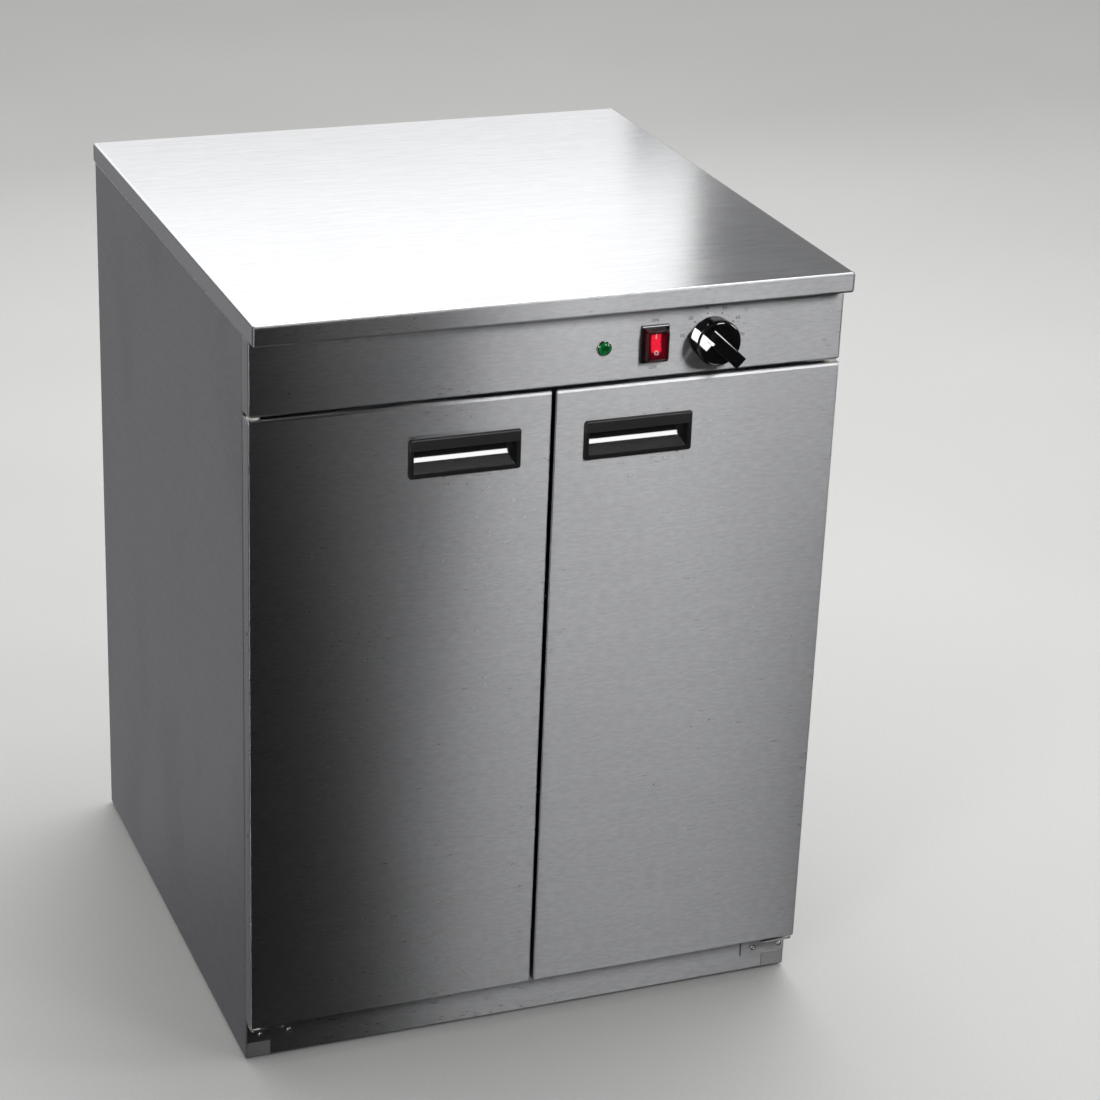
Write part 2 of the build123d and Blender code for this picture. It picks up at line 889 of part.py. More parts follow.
def bulb_clips():
    clips = []
    for share in (0.25, 0.75):
        z = bulb_top - share * bulb_length
        arm = block(
            (knob_x - bulb_clip_width / 2, knob_x + bulb_clip_width / 2),
            (bulb_place[1] - bulb_radius - bulb_clip_wall, liner_rear_inner),
            (z - bulb_clip_height / 2, z + bulb_clip_height / 2),
        )
        through = (z - bulb_clip_height, z + bulb_clip_height)
        clips.append(arm - rod("Z", bulb_radius + hole_gap, through, bulb_place))
    return clips


def knob():
    """Tapered round body with a wedge-shaped grip across it, made about +Z and turned."""
    body = Pos(0, 0, knob_height / 2) * Cone(knob_base_radius, knob_face_radius, knob_height)
    body = fillet(body.edges().sort_by(Axis.Z)[-1], knob_round)
    root = knob_height / 4
    outline = [
        (grip_tip, root),
        (grip_tip, knob_height - root),
        (grip_crease, knob_height + grip_crease_rise),
        (-grip_reach, grip_height),
        (-grip_reach, knob_height - root),
        (root - knob_face_radius, root),
    ]
    flank = Plane.XZ * make_face(Polyline(*outline, close=True))
    grip = extrude(flank, grip_width / 2, both=True)
    grip = fillet(grip.edges(), grip_round)
    bore = Pos(0, 0, knob_bore[0]) * Cylinder(spindle_radius + grip_gap, 2 * knob_bore[1])
    turn = math.radians(pointer_angle)
    place = Plane(
        origin=(knob_x, door_front - knob_gap, control_z),
        x_dir=(math.cos(turn), 0, math.sin(turn)),
        z_dir=(0, -1, 0),
    )
    return place * (body + grip - bore)


def lamp_holder():
    """Ring on the panel with its stem behind and a nut on the stem."""
    centre = (lamp_x, control_z)
    back_of_panel = door_front + shell_wall
    ring = rod("Y", lamp_ring_radius, (door_front - lamp_ring_height, door_front), centre)
    ring = fillet(ring.edges().sort_by(Axis.Y)[0], lamp_ring_height / 2)
    stem = rod("Y", lamp_stem_radius, (door_front - lamp_seat, door_front + lamp_depth), centre)
    nut_y = (back_of_panel, back_of_panel + lamp_nut_depth)
    nut = rod("Y", lamp_ring_radius + small_round, nut_y, centre)
    seat = rod("Y", lamp_radius, (door_front - over, door_front - lamp_seat), centre)
    return ring + stem + nut - seat


def lamp_lens():
    radius = lamp_radius - hole_gap / 2
    front = door_front - lamp_ring_height - hole_gap
    disc = rod("Y", radius, (front, door_front - lamp_seat), (lamp_x, control_z))
    return disc + facing(lamp_x, front, control_z, (0, -1, 0)) * dome(radius, lamp_dome)


def switch_frame():
    """Black body with a flange on the panel and a well for the rocker."""
    flange = block(
        (switch_x - switch_width / 2, switch_x + switch_width / 2),
        (door_front - switch_flange, door_front),
        (control_z - switch_height / 2, control_z + switch_height / 2),
    )
    flange = fillet(flange.edges().filter_by(Axis.Y), switch_corner)
    flange = fillet(flange.faces().sort_by(Axis.Y)[0].edges(), switch_corner / 2)
    half = (switch_width / 2 - switch_step, switch_height / 2 - switch_step)
    body = block(
        (switch_x - half[0], switch_x + half[0]),
        (door_front - switch_flange / 2, door_front + switch_body_depth),
        (control_z - half[1], control_z + half[1]),
    )
    well = (rocker_width / 2 + rocker_room / 2, rocker_height / 2 + rocker_room)
    pocket = block(
        (switch_x - well[0], switch_x + well[0]),
        (door_front - switch_flange - over, rocker_pivot_y + rocker_heel + rocker_room),
        (control_z - well[1], control_z + well[1]),
    )
    reach = rocker_width / 2 + rocker_pin_reach + rocker_pin_gap
    ends = (switch_x - reach, switch_x + reach)
    bore = rod("X", rocker_pin_radius + rocker_pin_gap, ends, (rocker_pivot_y, control_z))
    return flange + body - pocket - bore


def switch_rocker():
    """Rocker with two shallow slopes on a pair of stub pins, pressed in at its top."""
    half = rocker_height / 2
    outline = [
        (-half, -rocker_skirt),
        (-half, rocker_rise),
        (0, rocker_waist),
        (half, rocker_rise),
        (half, -rocker_skirt),
        (0, -rocker_heel),
    ]
    flank = Plane.YZ * make_face(Polyline(*outline, close=True))
    rocker = extrude(flank, rocker_width / 2, both=True)
    rocker = fillet(rocker.edges(), grip_round)
    reach = rocker_width / 2 + rocker_pin_reach
    rocker += rod("X", rocker_pin_radius, (-reach, reach), (0, 0))
    place = Plane(origin=(switch_x, rocker_pivot_y, control_z), x_dir=(1, 0, 0), z_dir=(0, -1, 0))
    return place * (Rot(-rocker_throw, 0, 0) * rocker)


def switch_cover():
    """Clear splash cover over the rocker, a thin hollow box with a rim on the frame."""
    front = door_front - switch_flange
    x = (switch_x - switch_cover_width / 2, switch_x + switch_cover_width / 2)
    z = (control_z - switch_cover_height / 2, control_z + switch_cover_height / 2)
    return tray(x, (front - switch_cover_depth, front), z, switch_cover_wall, Axis.Y, 1, 2 * switch_corner)


def terminal_block():
    y = (carcass_back - terminal_depth, carcass_back)
    body = block(terminal_x, y, terminal_z)
    radius, depth = terminal_hole
    for pole in range(terminal_poles):
        x = terminal_x[0] + (terminal_x[1] - terminal_x[0]) * (pole + 0.5) / terminal_poles
        body -= rod("Z", radius, (terminal_z[1] - depth, terminal_z[1] + over), (x, sum(y) / 2))
    return body


def wiring_loom():
    """Bundle of leads from the terminal block to the back of the switch."""
    level = control_z + loom_rise
    start = (sum(terminal_x) / 2, carcass_back - terminal_depth, level)
    middle = (door_front + carcass_back) / 2
    end = (switch_x, door_front + switch_body_depth, level)
    path = FilletPolyline(
        start, (start[0], middle, level), (switch_x, middle - loom_slant, level), end, radius=loom_bend
    )
    return sweep(Plane(origin=path @ 0, z_dir=path % 0) * Circle(loom_radius), path=path)


def cable_gland():
    """Screwed gland in the back panel, flange and dome outside, nut inside."""
    back = carcass_back + shell_wall
    place = facing(gland_place[0], back, gland_place[1], (0, 1, 0))
    outline = RegularPolygon(gland_flange_radius, 6, major_radius=False)
    flange = extrude(outline, gland_flange_height)
    length = gland_reach - gland_flange_height
    cap = Cone(gland_flange_radius - small_round, gland_mouth_radius, length)
    cap = Pos(0, 0, gland_flange_height + length / 2) * cap
    thread = Pos(0, 0, small_round - gland_thread_length / 2)
    thread = thread * Cylinder(gland_thread_radius, gland_thread_length)
    nut = Pos(0, 0, -shell_wall - gland_nut_height) * extrude(outline, gland_nut_height)
    bore = Cylinder(gland_bore_radius, 2 * (gland_reach + gland_thread_length))
    return place * (flange + cap + thread + nut - bore)


# ---------------------------------------------------------------- pivots
def pivot_bracket(side, upper):
    """Folded plate on the carcass with a leaf that carries the door's pin."""
    x, z = bracket_plate(side, upper)
    leaf = leaf_level(upper)
    plate = block(x, (carcass_front - bracket_wall, carcass_front), z)
    outer = body_half - bracket_inset
    nose = pivot_y - bush_flange_radius
    tongue = block(span(side, outer - bracket_leaf, outer), (nose, carcass_front), leaf)
    tongue = fillet(tongue.edges().filter_by(Axis.Z).sort_by(Axis.Y)[:2], bracket_corner)
    pin_z = (door_top - pivot_length, leaf[1]) if upper else (leaf[0], door_bottom + pivot_length)
    pin = rod("Z", pivot_radius, pin_z, (side * pivot_x, pivot_y))
    body = plate + tongue + pin
    through = (carcass_front - over, carcass_front + over)
    for place in bracket_screw_places(side, upper):
        body -= rod("Y", bracket_screw_radius + hole_gap, through, place)
    return body


def bracket_screws():
    screws = []
    for side in (-1, 1):
        for upper in (False, True):
            for x, z in bracket_screw_places(side, upper):
                place = facing(x, carcass_front - bracket_wall, z, (0, -1, 0))
                length = bracket_wall + shell_wall
                screws.append(place * pan_screw(bracket_screw_head, bracket_screw_radius, length))
    return screws


def door_magnets():
    magnets = []
    for side in (-1, 1):
        near = door_split / 2 + magnet_inset
        magnets.append(
            block(
                span(side, near, near + magnet_width),
                (carcass_front, carcass_front + magnet_depth),
                (head_bottom - magnet_height, head_bottom),
            )
        )
    return magnets


def door_buffers():
    """Soft buttons on the sill that the doors close against."""
    buffers = []
    z = (door_bottom + sill_top) / 2
    for side in (-1, 1):
        x = side * (door_split / 2 + buffer_inset)
        button = rod("Y", buffer_radius, (door_back + seat_gap, carcass_front), (x, z))
        buffers.append(fillet(button.edges().sort_by(Axis.Y)[0], small_round))
    return buffers


# ---------------------------------------------------------------- doors
def bush_cutter(side, margin):
    """Clearance around both bushes of a door, as a square hole."""
    cutters = []
    depth = pivot_length + over
    reach = bush_radius + margin
    x = (side * pivot_x - reach, side * pivot_x + reach)
    y = (pivot_y - reach, pivot_y + reach)
    cutters.append(block(x, y, (door_bottom - over, door_bottom + depth)))
    cutters.append(block(x, y, (door_top - depth, door_top + over)))
    return cutters


def pull_cutter(side, margin):
    """Hole in the door for the pull's pocket."""
    reach = pull_rim - pull_wall - margin
    x = span(side, pull_near + reach, pull_near + pull_width - reach)
    z = (pull_bottom + reach, pull_top - reach)
    return block(x, (door_front - over, door_front + pull_pocket_depth + pull_wall + margin), z)


def door_rivet_places(side):
    """Door edge, its outward direction and level of each edge rivet."""
    places = []
    for edge, out in ((door_split / 2, -side), (body_half, side)):
        for share in rivet_rows:
            places.append((side * edge, out, door_bottom + share * (door_top - door_bottom)))
    return places


def door_rivet_holes(side):
    holes = []
    y = door_front + rivet_depth
    for x, _, z in door_rivet_places(side):
        holes.append(rod("X", rivet_radius + hole_gap, (x - over, x + over), (y, z)))
    return holes


def bush_holes(side):
    place = (side * pivot_x, pivot_y)
    radius = bush_radius + hole_gap
    return [
        rod("Z", radius, (door_bottom - over, door_bottom + over), place),
        rod("Z", radius, (door_top - over, door_top + over), place),
    ]


def door_skin(side):
    skin = tray(
        span(side, door_split / 2, body_half),
        (door_front, door_back),
        (door_bottom, door_top),
        door_wall,
        Axis.Y,
        1,
        tight_bend,
    )
    return skin - bush_holes(side) - door_rivet_holes(side) - pull_cutter(side, hole_gap)


def door_inner(side):
    """Back tray of the door, which nests inside the skin's returns."""
    panel = tray(
        span(side, door_split / 2 + door_wall, body_half - door_wall),
        (door_back - door_inner_flange, door_back),
        (door_bottom + door_wall, door_top - door_wall),
        door_inner_wall,
        Axis.Y,
        -1,
        tight_bend - door_wall,
    )
    return panel - bush_holes(side) - door_rivet_holes(side)


def door_core(side):
    """Insulating board that fills the door."""
    near = door_wall + door_inner_wall + seat_gap
    core = block(
        span(side, door_split / 2 + near, body_half - near),
        (door_front + door_wall, door_back - door_inner_wall),
        (door_bottom + near, door_top - near),
    )
    cuts = bush_cutter(side, seat_gap) + [pull_cutter(side, seat_gap)]
    return core - cuts


def door_bushes(side):
    """Flanged nylon bushes at the door's bottom and top corners."""
    bushes = []
    for end, sign in ((door_bottom, 1), (door_top, -1)):
        place = (side * pivot_x, pivot_y)
        flange = sorted((end, end - sign * bush_flange_height))
        sleeve = sorted((end - sign, end + sign * (pivot_length + bush_end)))
        bore = sorted((end - sign * over, end + sign * (pivot_length + seat_gap)))
        body = rod("Z", bush_flange_radius, flange, place) + rod("Z", bush_radius, sleeve, place)
        bushes.append(body - rod("Z", pivot_radius + running_gap, bore, place))
    return bushes


def pull_knee(foot, deep):
    """Where the pocket's ramp starts to curve up, and where it stands upright."""
    slope = math.radians(pull_ramp_slope)
    run = pull_ramp_share * (deep - foot[0])
    knee = (foot[0] + run, foot[1] + run * math.tan(slope))
    chord = (slope + math.pi / 2) / 2
    return knee, (deep, knee[1] + (deep - knee[0]) * math.tan(chord))


def door_pull(side):
    """Flush pull: frame on the door's face and a ramped pocket that runs up behind the hood."""
    x = span(side, pull_near, pull_near + pull_width)
    z = (pull_bottom, pull_top)
    frame = block(x, (door_front - pull_flange, door_front), z)
    frame = fillet(frame.edges().filter_by(Axis.Y), pull_corner)
    frame = fillet(frame.faces().sort_by(Axis.Y)[0].edges(), small_round)
    reach = pull_rim - pull_wall
    shell = block(
        (x[0] + reach, x[1] - reach),
        (door_front - pull_flange / 2, door_front + pull_pocket_depth + pull_wall),
        (z[0] + reach, z[1] - reach),
    )
    low = z[0] + pull_rim
    hood = z[1] - pull_hood
    high = z[1] - pull_rim
    front = door_front - pull_flange - over
    deep = door_front + pull_pocket_depth
    hood_back = door_front + pull_wall
    foot = (door_front - pull_flange / 2, low)
    knee, crest = pull_knee(foot, deep)
    outline = [
        Line((front, low), foot),
        Line(foot, knee),
        TangentArc(knee, crest, tangent=(knee[0] - foot[0], knee[1] - foot[1])),
        Line(crest, (deep, high)),
        Line((deep, high), (hood_back, high)),
        Line((hood_back, high), (hood_back, hood)),
        Line((hood_back, hood), (front, hood)),
        Line((front, hood), (front, low)),
    ]
    width = pull_width - 2 * pull_rim
    scoop = extrude(Plane.YZ * make_face(outline), width / 2, both=True)
    middle = side * (pull_near + pull_width / 2)
    return frame + shell - Pos(middle, 0, 0) * scoop


def door_strike(side):
    """Steel plate on the door's back that meets the magnet."""
    near = door_split / 2 + magnet_inset + strike_border
    return block(
        span(side, near, near + magnet_width - 2 * strike_border),
        (door_back, carcass_front - seat_gap),
        (head_bottom - magnet_height + small_round, head_bottom - small_round),
    )


def door_rivets(side):
    rivets = []
    length = door_wall + door_inner_wall
    for x, out, z in door_rivet_places(side):
        place = facing(x, door_front + rivet_depth, z, (out, 0, 0))
        rivets.append(place * headed_pin(rivet_head, rivet_radius, length))
    return rivets


# ---------------------------------------------------------------- build
def main():
    os.makedirs("parts", exist_ok=True)
    save("worktop", worktop())
    save("worktop_stiffeners", *worktop_stiffeners())
    save("worktop_screws", *worktop_screws())
    save("back_panel", back_panel())
    save("back_panel_rivets", *back_rivets())
    save("base_panel", base_panel())
    save("levelling_feet", *levelling_feet())
    save("foot_nuts", *foot_nuts())
    save("plinth_panel", plinth_panel())
    save("head_rail", head_rail())
    save("control_panel", control_panel())
    save("liner_back", liner_back())
    save("liner_floor", liner_floor())
    save("liner_roof", liner_roof())
    save("insulation_sides", insulation_side(-1), insulation_side(1))
    save("insulation_back", insulation_back())
    save("insulation_floor", insulation_floor())
    save("insulation_roof", insulation_roof())
    save("heating_element", heating_element())
    save("element_clips", *element_clips())
    save("element_cover", element_cover())
    save("shelf", shelf())
    save("shelf_uprights", *shelf_uprights())
    save("shelf_clips", *shelf_clips())
    save("thermostat", thermostat())
    save("thermostat_spindle", thermostat_spindle())
    save("thermostat_capillary", thermostat_capillary())
    save("bulb_clips", *bulb_clips())
    save("control_knob", knob())
    save("lamp_holder", lamp_holder())
    save("lamp_lens", lamp_lens())
    save("switch_frame", switch_frame())
    save("switch_rocker", switch_rocker())
    save("switch_cover", switch_cover())
    save("terminal_block", terminal_block())
    save("wiring_loom", wiring_loom())
    save("cable_gland", cable_gland())
    save("bracket_screws", *bracket_screws())
    save("door_magnets", *door_magnets())
    save("door_buffers", *door_buffers())
    for name, side in (("left", -1), ("right", 1)):
        save("side_panel_" + name, side_panel(side))
        save("liner_" + name, liner_side(side))
        save("pivot_brackets_" + name, pivot_bracket(side, False), pivot_bracket(side, True))
        save("door_skin_" + name, door_skin(side))
        save("door_inner_" + name, door_inner(side))
        save("door_core_" + name, door_core(side))
        save("door_bushes_" + name, *door_bushes(side))
        save("door_pull_" + name, door_pull(side))
        save("door_strike_" + name, door_strike(side))
        save("door_rivets_" + name, *door_rivets(side))


if __name__ == "__main__":
    main()
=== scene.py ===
import bpy
import json
import math
import numpy as np
from mathutils import Matrix, Vector
from mathutils.bvhtree import BVHTree


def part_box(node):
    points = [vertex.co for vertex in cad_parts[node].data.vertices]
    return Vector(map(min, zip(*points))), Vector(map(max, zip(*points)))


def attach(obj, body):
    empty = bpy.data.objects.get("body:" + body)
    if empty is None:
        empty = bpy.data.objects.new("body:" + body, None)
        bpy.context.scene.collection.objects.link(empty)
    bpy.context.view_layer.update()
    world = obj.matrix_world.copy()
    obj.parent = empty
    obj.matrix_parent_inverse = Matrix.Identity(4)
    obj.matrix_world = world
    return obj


# Plate warmer cabinet: studio, finishes, the dial and switch print and the rocker's marks.
# Metres, doors facing -Y, +Z up, floor at Z = 0.
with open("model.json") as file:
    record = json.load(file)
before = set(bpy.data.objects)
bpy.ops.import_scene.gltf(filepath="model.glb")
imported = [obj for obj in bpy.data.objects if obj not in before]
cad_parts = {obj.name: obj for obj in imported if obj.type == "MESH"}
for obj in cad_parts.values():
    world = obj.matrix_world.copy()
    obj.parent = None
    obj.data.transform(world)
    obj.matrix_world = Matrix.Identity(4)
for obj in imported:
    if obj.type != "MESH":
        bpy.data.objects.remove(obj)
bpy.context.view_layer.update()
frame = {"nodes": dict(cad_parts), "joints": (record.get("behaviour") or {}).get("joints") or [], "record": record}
nodes = frame["nodes"]
joints = {joint["name"]: joint for joint in frame["joints"]}
print("frame loaded:", len(nodes), "nodes")

# studio: the camera's place, and which way its right, its down and its aim point
view = {
    "place": (-0.98611, -2.71645, 1.67387),
    "right": (0.93141, -0.36214, 0.03653),
    "down": (-0.11353, -0.38442, -0.91615),
    "forward": (0.34582, 0.84916, -0.39917),
    "lens": 96.863, "sensor": 36,  # millimetres
    "far": 60,  # how far it sees, metres
}
eye = bpy.data.objects.new("viewCamera", bpy.data.cameras.new("viewCamera"))
eye.data.lens = view["lens"]
eye.data.sensor_width = view["sensor"]
eye.data.clip_end = view["far"]
upAxis = [-v for v in view["down"]]
backAxis = [-v for v in view["forward"]]
axes = Matrix((view["right"], upAxis, backAxis)).transposed()
eye.matrix_world = Matrix.Translation(view["place"]) @ axes.to_4x4()
bpy.context.scene.collection.objects.link(eye)
bpy.context.scene.camera = eye
bpy.context.scene.view_settings.view_transform = "Standard"

lamps = {
    # name: (centre, aim, (width, height), watts)
    "backUpperPanel": ((0.21, 2.9, 2.265), (0.21, 0.2, 2.265), (2.8, 1.17), 13.1),
    "backLowerPanel": ((0.13, 2.9, 1.315), (0.13, 0.2, 1.315), (2.64, 0.73), 5.2),
    "backGreyPanel": ((1.97, 2.9, 1.20), (1.97, 0.2, 1.20), (0.95, 0.80), 1.3),
    "frontKeyLight": ((1.14, -2.2, 1.98), (1.14, -0.29, 0.60), (0.84, 0.82), 10.6),
    "rightStripLight": ((2.80, -1.50, 1.55), (0.16, -0.29, 0.74), (0.6, 1.0), 14.0),
    "frontLowLight": ((1.13, -2.2, -1.9), (1.13, -0.29, -0.7), (0.85, 1.4), 3.2),
    "topLight": ((0.8, 0.9, 2.9), (0.8, 0.9, 0.0), (1.8, 2.4), 36),
    "leftFill": ((-1.1, 2.3, 0.0), (-0.3, 0.0, 0.4), (1.0, 2.4), 0.9),
    "leftSmallLight": ((-1.75, -1.85, 1.1), (0.1, -0.3, 0.7), (0.5, 0.8), 10),
    "ceilingWash": ((1.5, 2.5, 6.0), (1.5, 2.5, 0.0), (14, 14), 560),
}
floorOnly = ("ceilingWash",)  # lights matt surfaces, and isn't mirrored in the steel


def softLight(name, centre, aim, size, watts):
    lamp = bpy.data.lights.new(name, "AREA")
    lamp.shape = "RECTANGLE"
    lamp.size, lamp.size_y = size
    lamp.energy = watts
    holder = bpy.data.objects.new(name, lamp)
    holder.location = centre
    holder.rotation_euler = (Vector(aim) - Vector(centre)).to_track_quat("-Z", "Y").to_euler()
    holder.visible_camera = False
    holder.visible_glossy = name not in floorOnly
    bpy.context.scene.collection.objects.link(holder)


for name, values in lamps.items():
    softLight(name, *values)
print("camera and lamps placed")


# a socket whose arithmetic adds Math nodes, and which can add any other node to its tree
class Wire:
    def __init__(self, tree, socket=None):
        self.tree = tree
        self.socket = socket

    # a node by its type, its settings, then the values or links of its sockets
    def add(self, kind, settings={}, sockets={}, out=0):
        made = self.tree.nodes.new(kind)
        for name, value in settings.items():
            setattr(made, name, value)
        for name, value in sockets.items():
            if isinstance(value, Wire):
                self.tree.links.new(value.socket, made.inputs[name])
            else:
                made.inputs[name].default_value = value
        return Wire(self.tree, made.outputs[out])

    def math(self, operation, first, second=0.0):
        return self.add("ShaderNodeMath", {"operation": operation}, {0: first, 1: second})

    def __add__(self, other):
        return self.math("ADD", self, other)

    def __radd__(self, other):
        return self.math("ADD", other, self)

    def __sub__(self, other):
        return self.math("SUBTRACT", self, other)

    def __rsub__(self, other):
        return self.math("SUBTRACT", other, self)

    def __mul__(self, other):
        return self.math("MULTIPLY", self, other)

    def __rmul__(self, other):
        return self.math("MULTIPLY", other, self)

    # 0 below low, 1 above high, smooth between
    def between(self, low, high):
        return self.add(
            "ShaderNodeMapRange",
            {"interpolation_type": "SMOOTHSTEP"},
            {"Value": self, "From Min": low, "From Max": high},
        )

    # one shader giving way to another as this number goes from 0 to 1
    def shaders(self, first, second):
        return self.add("ShaderNodeMixShader", {}, {0: self, 1: first, 2: second})

    # a colour from one to another as this number goes from 0 to 1. Sockets 6 and 7 are the colours
    def blend(self, first, second):
        colours = {"Factor": self, 6: first, 7: second}
        return self.add("ShaderNodeMix", {"data_type": "RGBA"}, colours, out=2)


# a colour times a factor, with full alpha
def opaque(colour, factor=1.0):
    return (*[min(1, v * factor) for v in colour], 1)


objectPlace = 3  # the Object output of a Texture Coordinate node


# a new material: fixed sockets are set, the rest are linked by what build returns
def makeMaterial(name, fixed, build):
    material = bpy.data.materials.new(name)
    material.use_nodes = True
    tree = material.node_tree
    shader = tree.nodes["Principled BSDF"]
    for socket, value in fixed.items():
        shader.inputs[socket].default_value = value
    paint = Wire(tree)
    place = paint.add("ShaderNodeTexCoord", out=objectPlace)
    for socket, value in build(paint, place).items():
        tree.links.new(value.socket, shader.inputs[socket])
    return material


# a new material whose surface is the shader that build returns
def mixedMaterial(name, build):
    material = bpy.data.materials.new(name)
    material.use_nodes = True
    tree = material.node_tree
    tree.nodes.remove(tree.nodes["Principled BSDF"])
    paint = Wire(tree)
    surface = build(paint, paint.add("ShaderNodeTexCoord", out=objectPlace))
    tree.links.new(surface.socket, tree.nodes["Material Output"].inputs["Surface"])
    return material


# noise stretched by a different frequency, per metre, on each axis
def noise(paint, place, scale, detail=2.0, rough=0.5):
    spot = paint.add("ShaderNodeMapping", {}, {"Vector": place, "Scale": scale})
    sockets = {"Vector": spot, "Scale": 1.0, "Detail": detail, "Roughness": rough}
    return paint.add("ShaderNodeTexNoise", {}, sockets)


# one coordinate of a place: 0, 1 or 2 for X, Y or Z
def along(paint, place, axis):
    return paint.add("ShaderNodeSeparateXYZ", {}, {0: place}, out=axis)


# a normal tilted by the slope of height times scale, both in metres
def bump(paint, height, scale=1.0):
    sockets = {"Height": height, "Distance": scale, "Strength": 1.0}
    return paint.add("ShaderNodeBump", {}, sockets)


sheetFinishes = {
    # axis: the way the grain runs, 0 for X and 1 for Y. fine, broad: the lines' frequencies per
    # metre, along and across. spread, smears: what lines and smears add to rough. relief: metres.
    # fan: how steeply the outer two lobes are tilted, 0 for a single even one
    "frontSheet": {
        "colour": (0.588, 0.592, 0.605), "axis": 0, "fine": (90, 420), "broad": (9, 150),
        "rough": 0.28, "spread": 0.04, "relief": 0.0000016, "smears": 0.02, "fan": 0.47,
    },
    "worktopSheet": {
        "colour": (0.650, 0.655, 0.665), "axis": 0, "fine": (60, 1300), "broad": (8, 300),
        "rough": 0.14, "spread": 0.03, "relief": 0.0000015, "smears": 0.02, "fan": 0.0,
    },
    "sideSheet": {
        "colour": (0.565, 0.57, 0.58), "axis": 1, "fine": (60, 420), "broad": (9, 150),
        "rough": 0.32, "spread": 0.10, "relief": 0.000006, "smears": 0.05, "fan": 0.0,
    },
    "innerSheet": {
        "colour": (0.54, 0.545, 0.555), "axis": 0, "fine": (200, 500), "broad": (30, 60),
        "rough": 0.36, "spread": 0.10, "relief": 0.000006, "smears": 0.08, "fan": 0.0,
    },
}
grainMix = {
    "fineShare": 0.75,  # of the fine lines beside the broad ones
    "darkest": 0.93, "palest": 1.07,  # the lines' shades, times the colour
    "smear": (9, 9, 5), "smearRange": (0.45, 0.75),  # wide soft marks left by wiping
    "turn": 0.25,  # a quarter turn: each lobe is long across the grain
    "middle": 0.3,  # the middle lobe's share beside the two outer ones
}


# one metal shader, stretched across the grain by 0 to 1
def metalLobe(paint, colour, rough, normal, stretch):
    sockets = {"Base Color": colour, "Roughness": rough, "Normal": normal, "Metallic": 1.0}
    sockets["Anisotropic"] = stretch
    sockets["Anisotropic Rotation"] = grainMix["turn"]
    return paint.add("ShaderNodeBsdfPrincipled", {}, sockets)


# brushed lines: noise squeezed across the grain, over the smears. The grain throws light far across
# itself and little along it, so a fan is three narrow lobes, the outer two from normals tilted up
# and down by the slope of a ramp in height. With lean, it is one lobe tilted that much
def brushed(paint, place, look, lean=0.0):
    fineScale = [look["fine"][1]] * 3
    fineScale[look["axis"]] = look["fine"][0]
    broadScale = [look["broad"][1]] * 3
    broadScale[look["axis"]] = look["broad"][0]
    fine = noise(paint, place, fineScale, 1.0)
    broad = noise(paint, place, broadScale)
    smear = noise(paint, place, grainMix["smear"], 3.0).between(*grainMix["smearRange"])
    lines = fine * grainMix["fineShare"] + broad * (1 - grainMix["fineShare"])
    dark = opaque(look["colour"], grainMix["darkest"])
    pale = opaque(look["colour"], grainMix["palest"])
    colour = lines.between(0.3, 0.7).blend(dark, pale)
    rough = look["rough"] + (lines - 0.5) * look["spread"] + smear * look["smears"]
    if not look["fan"]:
        return metalLobe(paint, colour, rough, bump(paint, lines, look["relief"]), 0.0)
    level = along(paint, place, 2)
    lobes = []
    for tilt in [lean] if lean else [look["fan"], -look["fan"], 0.0]:
        height = lines * look["relief"] - level * tilt
        lobes.append(metalLobe(paint, colour, rough, bump(paint, height), 1.0))
    if lean:
        return lobes[0]
    outer = paint.add("ShaderNodeMixShader", {}, {0: 0.5, 1: lobes[0], 2: lobes[1]})
    return paint.add("ShaderNodeMixShader", {}, {0: grainMix["middle"], 1: outer, 2: lobes[2]})


def sheetMetal(name, look):
    return mixedMaterial(name, lambda paint, place: brushed(paint, place, look))


worktopBend = (0.0005, 0.0030)  # from edge to top finish, metres behind the front


# the worktop's top keeps a sharper reflection than its folded front edge
def worktopBuild(paint, place):
    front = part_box("worktop")[0].y
    start, end = worktopBend
    share = along(paint, place, 1).between(front + start, front + end)
    edge = brushed(paint, place, sheetFinishes["frontSheet"])
    return share.shaders(edge, brushed(paint, place, sheetFinishes["worktopSheet"]))


# metres below the door's top at which the leaning strip ends and starts, its fade, and its slope
doorEdge = {"depth": 0.0038, "bend": 0.0014, "fade": 0.0004, "lean": 0.48}


# a door's skin: a strip under its top bend leans back and mirrors the key light as a bright line
def doorBuild(paint, place):
    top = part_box("door_skin_left")[1].z
    foot, bend, fade = top - doorEdge["depth"], top - doorEdge["bend"], doorEdge["fade"]
    level = along(paint, place, 2)
    share = level.between(foot, foot + fade) * (1 - level.between(bend, bend + fade))
    look = sheetFinishes["frontSheet"]
    return share.shaders(brushed(paint, place, look), brushed(paint, place, look, doorEdge["lean"]))


finishes = {}
for name in ("frontSheet", "sideSheet", "innerSheet"):
    finishes[name] = sheetMetal(name, sheetFinishes[name])
finishes["worktopSheet"] = mixedMaterial("worktopSheet", worktopBuild)
finishes["doorSheet"] = mixedMaterial("doorSheet", doorBuild)

smallMetals = {
    # name: colour, roughness, speckle frequency per metre
    "plated": ((0.78, 0.78, 0.77), 0.14, 900),
    "rivetAlloy": ((0.72, 0.72, 0.72), 0.32, 1200),
    "heatedSheath": ((0.30, 0.26, 0.22), 0.42, 500),
    "copperTube": ((0.80, 0.42, 0.26), 0.26, 900),
    "lampRing": ((0.75, 0.78, 0.75), 0.22, 900),
}


